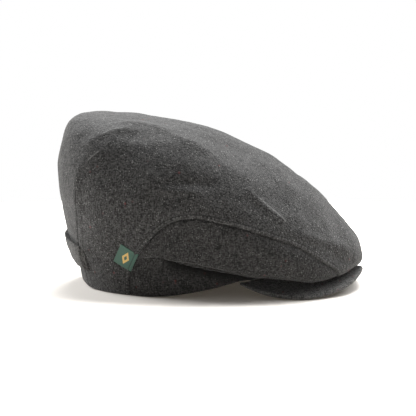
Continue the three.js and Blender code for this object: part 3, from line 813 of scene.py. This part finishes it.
# Back strap. A flat belt of doubled tweed round the lower back, topstitched along both edges, with its
# ends caught in the two back darts.
STRAP_WIDE = 22.5
STRAP_TURN = 39.0
STRAP_THICK = 3.2
strap, u, v = grid_piece("strap_at_back", 220, 28)
side = 2.0 * u - 1.0
middle = PROFILE_RISES[1] + 0.031 - 0.015 * np.abs(side)
strap_turn = 180.0 + side * STRAP_TURN
strap_rise = middle + STRAP_WIDE * 0.7 * (v - 0.5) / RISE_MM * 1.12
plain = plain_crown(strap_turn, strap_rise)
normal = crown_normal(strap_turn, strap_rise)
from_edge = (0.5 - np.abs(v - 0.5)) * STRAP_WIDE
from_end = (1.0 - np.abs(side)) * STRAP_TURN * TURN_MM
crown_below = slack(plain) * (ramp(np.minimum(from_end, 40.0), 0.0, 14.0) * 0.75 + 0.25)
height = LAY_GAP + STRAP_THICK + 0.25 + crown_below
height += 0.35 * ramp(from_edge, 2.4, 4.5) - 0.28 * np.exp(-((from_edge - 2.2) / 0.6) ** 2)
height -= 0.9 * np.exp(-(from_edge / 0.8) ** 2) + 2.4 * (1.0 - ramp(from_end, 0.0, 5.0))
set_points(strap, (plain + normal * height[:, None] + (AXIS_X, 0.0, 0.0)) * MM)
thicken(strap, STRAP_THICK - 0.3)
finish_smooth(strap)
strap_tweed = tweed_material("strap_tweed", (0.022, 0.022, 0.021), (0.105, 0.103, 0.1), (0.26, 0.26, 0.25), 0.45)
strap.data.materials.append(strap_tweed)
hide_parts("back_strap")
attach(strap, "root")

# Side label. A small tab of green woven ribbon, folded double and sewn into the right side seam by its
# front end, so it points back and stands a little off the cloth. It carries a plain woven lozenge in gold.
LABEL_LONG = 17.6
LABEL_TALL = 18.5
LABEL_OVER = 2.2            # its sewn end lies over the seam
LABEL_LIFT = 1.25           # its outer face over the cloth at the sewn end
LABEL_TILT = math.radians(31.0)
LABEL_AT = 0.112            # share of the seam where it is caught
seam_at = seam_place(LABEL_AT, SEAM_GAP)
label_start = plain_crown(-seam_at[0], seam_at[1])
half_label = math.degrees(LABEL_LONG / 2 / REACH[2])
label_normal = crown_normal(-seam_at[0] - half_label, seam_at[1])
label_level = np.cross([0.0, 0.0, 1.0], label_normal)
label_level /= np.linalg.norm(label_level)
label_up = np.cross(label_normal, label_level)
label_back = -label_level * math.cos(LABEL_TILT) + label_up * math.sin(LABEL_TILT)
label_high = -np.cross(label_normal, label_back)
label, u, v = grid_piece("woven_label", 48, 40)
along = LABEL_LONG * (1.0 - u)
curl = 0.5 * np.sin(along / LABEL_LONG * math.pi) + 0.25 * np.sin(v * math.pi)
sag = 0.6 * (along / LABEL_LONG) ** 2
label_points = (label_start + label_back * (along * 0.985 - LABEL_OVER)[:, None]
                + label_high * (LABEL_TALL * (v - 0.5))[:, None]
                + label_normal * (LABEL_LIFT + curl + sag)[:, None])
set_points(label, (label_points + (AXIS_X, 0.0, 0.0)) * MM)
thicken(label, 0.8)
finish_smooth(label, 40.0)
label_weave = bpy.data.materials.new("label_weave")
label_weave.use_nodes = True
nodes, links = label_weave.node_tree.nodes, label_weave.node_tree.links
surface = nodes["Principled BSDF"]
chart = nodes.new("ShaderNodeUVMap")
chart.uv_map = label.data.uv_layers[0].name
apart = nodes.new("ShaderNodeSeparateXYZ")
links.new(chart.outputs[0], apart.inputs[0])
ribs = nodes.new("ShaderNodeTexWave")
ribs.bands_direction = "X"
ribs.inputs["Scale"].default_value = 14.0
ribs.inputs["Distortion"].default_value = 0.4
links.new(chart.outputs[0], ribs.inputs["Vector"])
picks = nodes.new("ShaderNodeTexWave")
picks.bands_direction = "Y"
picks.inputs["Scale"].default_value = 18.0
links.new(chart.outputs[0], picks.inputs["Vector"])
off_x = math_node(nodes, links, "ABSOLUTE", math_node(nodes, links, "SUBTRACT", apart.outputs[0], 0.5))
off_y = math_node(nodes, links, "ABSOLUTE", math_node(nodes, links, "SUBTRACT", apart.outputs[1], 0.5))
lozenge = math_node(nodes, links, "ADD", math_node(nodes, links, "DIVIDE", off_x, 0.2),
                    math_node(nodes, links, "DIVIDE", off_y, 0.34))
filled = math_node(nodes, links, "LESS_THAN", lozenge, 1.0)
hollow = math_node(nodes, links, "LESS_THAN", lozenge, 0.42)
motif = math_node(nodes, links, "SUBTRACT", filled, hollow, True)
# a dark band across the label near its fold: painted shade
from_fold = math_node(nodes, links, "SUBTRACT", apart.outputs[0], 0.84)
painted_fold_shade = math_node(nodes, links, "LESS_THAN", math_node(nodes, links, "ABSOLUTE", from_fold), 0.03)
green = nodes.new("ShaderNodeMix")
green.data_type = "RGBA"
green.inputs[6].default_value = (0.03, 0.086, 0.06, 1.0)
green.inputs[7].default_value = (0.066, 0.15, 0.11, 1.0)
links.new(math_node(nodes, links, "MULTIPLY", ribs.outputs["Fac"], picks.outputs["Fac"]), green.inputs["Factor"])
fold_shaded = nodes.new("ShaderNodeMix")
fold_shaded.data_type = "RGBA"
links.new(painted_fold_shade, fold_shaded.inputs["Factor"])
links.new(green.outputs[2], fold_shaded.inputs[6])
fold_shaded.inputs[7].default_value = (0.02, 0.05, 0.04, 1.0)
golden = nodes.new("ShaderNodeMix")
golden.data_type = "RGBA"
links.new(motif, golden.inputs["Factor"])
links.new(fold_shaded.outputs[2], golden.inputs[6])
golden.inputs[7].default_value = (0.62, 0.42, 0.13, 1.0)
links.new(golden.outputs[2], surface.inputs["Base Color"])
surface.inputs["Roughness"].default_value = 0.7
surface.inputs["Sheen Weight"].default_value = 0.2
raised = nodes.new("ShaderNodeBump")
raised.inputs["Strength"].default_value = 0.4
raised.inputs["Distance"].default_value = 0.0004
links.new(ribs.outputs["Fac"], raised.inputs["Height"])
links.new(raised.outputs["Normal"], surface.inputs["Normal"])
label.data.materials.append(label_weave)
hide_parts("label_tab")
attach(label, "root")

# Inner band. A strip of pale cloth sewn round the inside of the head opening, against the brow. Its lower
# edge peeps out a millimetre under the hem where the side lifts off the table.
BAND_TALL = 26.0
BAND_COLUMNS = 300
BAND_ROWS = 16
band, u, v = grid_piece("inner_band", BAND_COLUMNS, BAND_ROWS)
band_turn = u * 360.0
side = np.abs((band_turn + 540.0) % 360.0 - 180.0)
behind = ramp(side, PEAK["turn"] - 14.0, PEAK["turn"] - 1.0)
opening_out = oval(side, OPENING[0], OPENING[0], OPENING[1])
inset = LAY_GAP + 0.25 + 2.4 * ramp(side, PEAK["turn"] - 24.0, PEAK["turn"] - 1.0)
foot = peak_under_at(side, opening_out) * (1.0 - behind) + hem_up(side) * behind
hidden = 1.4 - 1.6 * ramp(side, 80.0, 90.0)     # mm over the hem in front, a little under it behind
low = np.maximum(foot + hidden - 0.9 * np.exp(-((side - 93.0) / 7.0) ** 2), LAY_GAP)
high = low + (foot + BAND_TALL - low) * v
bulge = 0.35 * np.sin(np.pi * v)
out = opening_out - inset - bulge
set_points(band, np.stack([out * np.cos(np.radians(band_turn)) + AXIS_X, out * np.sin(np.radians(band_turn)),
                           high], axis=1) * MM)
sew_up(band)
thicken(band, 1.1)
finish_smooth(band, 40.0)
band_cloth = bpy.data.materials.new("band_cloth")
band_cloth.use_nodes = True
nodes, links = band_cloth.node_tree.nodes, band_cloth.node_tree.links
surface = nodes["Principled BSDF"]
where = nodes.new("ShaderNodeTexCoord")
threads = nodes.new("ShaderNodeTexNoise")
threads.inputs["Scale"].default_value = 1400.0
threads.inputs["Detail"].default_value = 3.0
links.new(where.outputs["Object"], threads.inputs["Vector"])
wear = nodes.new("ShaderNodeTexNoise")
wear.inputs["Scale"].default_value = 60.0
wear.inputs["Detail"].default_value = 4.0
links.new(where.outputs["Object"], wear.inputs["Vector"])
pale_mix = nodes.new("ShaderNodeMix")
pale_mix.data_type = "RGBA"
pale_mix.inputs[6].default_value = (0.3, 0.285, 0.26, 1.0)
pale_mix.inputs[7].default_value = (0.46, 0.445, 0.41, 1.0)
both = math_node(nodes, links, "MULTIPLY", math_node(nodes, links, "ADD", threads.outputs["Fac"],
                                                     wear.outputs["Fac"]), 0.5)
links.new(both, pale_mix.inputs["Factor"])
links.new(pale_mix.outputs[2], surface.inputs["Base Color"])
surface.inputs["Roughness"].default_value = 0.85
raised = nodes.new("ShaderNodeBump")
raised.inputs["Strength"].default_value = 0.3
raised.inputs["Distance"].default_value = 0.0004
links.new(threads.outputs["Fac"], raised.inputs["Height"])
links.new(raised.outputs["Normal"], surface.inputs["Normal"])
band.data.materials.append(band_cloth)
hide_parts("sweatband")
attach(band, "root")

# Studio. A pale round table top under the cap, a large soft light overhead and weaker ones at both ends,
# as in a product photograph on white.
bpy.ops.object.select_all(action="DESELECT")
bpy.ops.mesh.primitive_circle_add(vertices=96, radius=0.75, fill_type="NGON", location=(0.0, 0.0, -0.0002))
floor = bpy.context.object
floor.name = "floor"
floor_paper_with_painted_glow = bpy.data.materials.new("floor_paper_with_painted_glow")
floor_paper_with_painted_glow.use_nodes = True
surface = floor_paper_with_painted_glow.node_tree.nodes["Principled BSDF"]
surface.inputs["Base Color"].default_value = (0.87, 0.84, 0.8, 1.0)
surface.inputs["Roughness"].default_value = 0.9
surface.inputs["Specular IOR Level"].default_value = 0.1
# the floor glows faintly warm: painted light that lifts its shadow under the cap and the light thrown back onto
# the cap's underside
surface.inputs["Emission Color"].default_value = (1.0, 0.87, 0.72, 1.0)
surface.inputs["Emission Strength"].default_value = 0.05
floor.data.materials.append(floor_paper_with_painted_glow)


def soft_light(name, place, target, size, power):
    """A square white area light at a place, turned to a target."""
    bpy.ops.object.light_add(type="AREA", location=place)
    light = bpy.context.object
    light.name = name
    light.data.shape = "SQUARE"
    light.data.size = size
    light.data.energy = power
    way = np.array(target, float) - np.array(place, float)
    light.rotation_euler = (math.atan2(math.hypot(way[0], way[1]), -way[2]), 0.0,
                            math.atan2(way[1], way[0]) - math.pi / 2)
    return light


soft_light("top_light", (0.14, 0.78, 1.5), (0.0, 0.0, 0.05), 1.2, 84.0)
soft_light("rear_end_light", (-1.2, 0.3, 0.62), (-0.1, 0.0, 0.12), 0.7, 25.0)
soft_light("front_end_light", (1.1, 0.4, 1.15), (0.0, 0.0, 0.07), 0.8, 12.0)
world = bpy.context.scene.world or bpy.data.worlds.new("studio")
bpy.context.scene.world = world
world.use_nodes = True
sky = world.node_tree.nodes
for node in list(sky):
    sky.remove(node)
sky_out = sky.new("ShaderNodeOutputWorld")
shown = sky.new("ShaderNodeBackground")
shown.inputs["Color"].default_value = (1.0, 1.0, 1.0, 1.0)
shown.inputs["Strength"].default_value = 1.0
dim = sky.new("ShaderNodeBackground")
dim.inputs["Color"].default_value = (1.0, 1.0, 1.0, 1.0)
dim.inputs["Strength"].default_value = 0.165
ray = sky.new("ShaderNodeLightPath")
pick = sky.new("ShaderNodeMixShader")
world.node_tree.links.new(ray.outputs["Is Camera Ray"], pick.inputs[0])
world.node_tree.links.new(dim.outputs[0], pick.inputs[1])
world.node_tree.links.new(shown.outputs[0], pick.inputs[2])
world.node_tree.links.new(pick.outputs[0], sky_out.inputs["Surface"])
bpy.context.scene.view_settings.view_transform = "Standard"
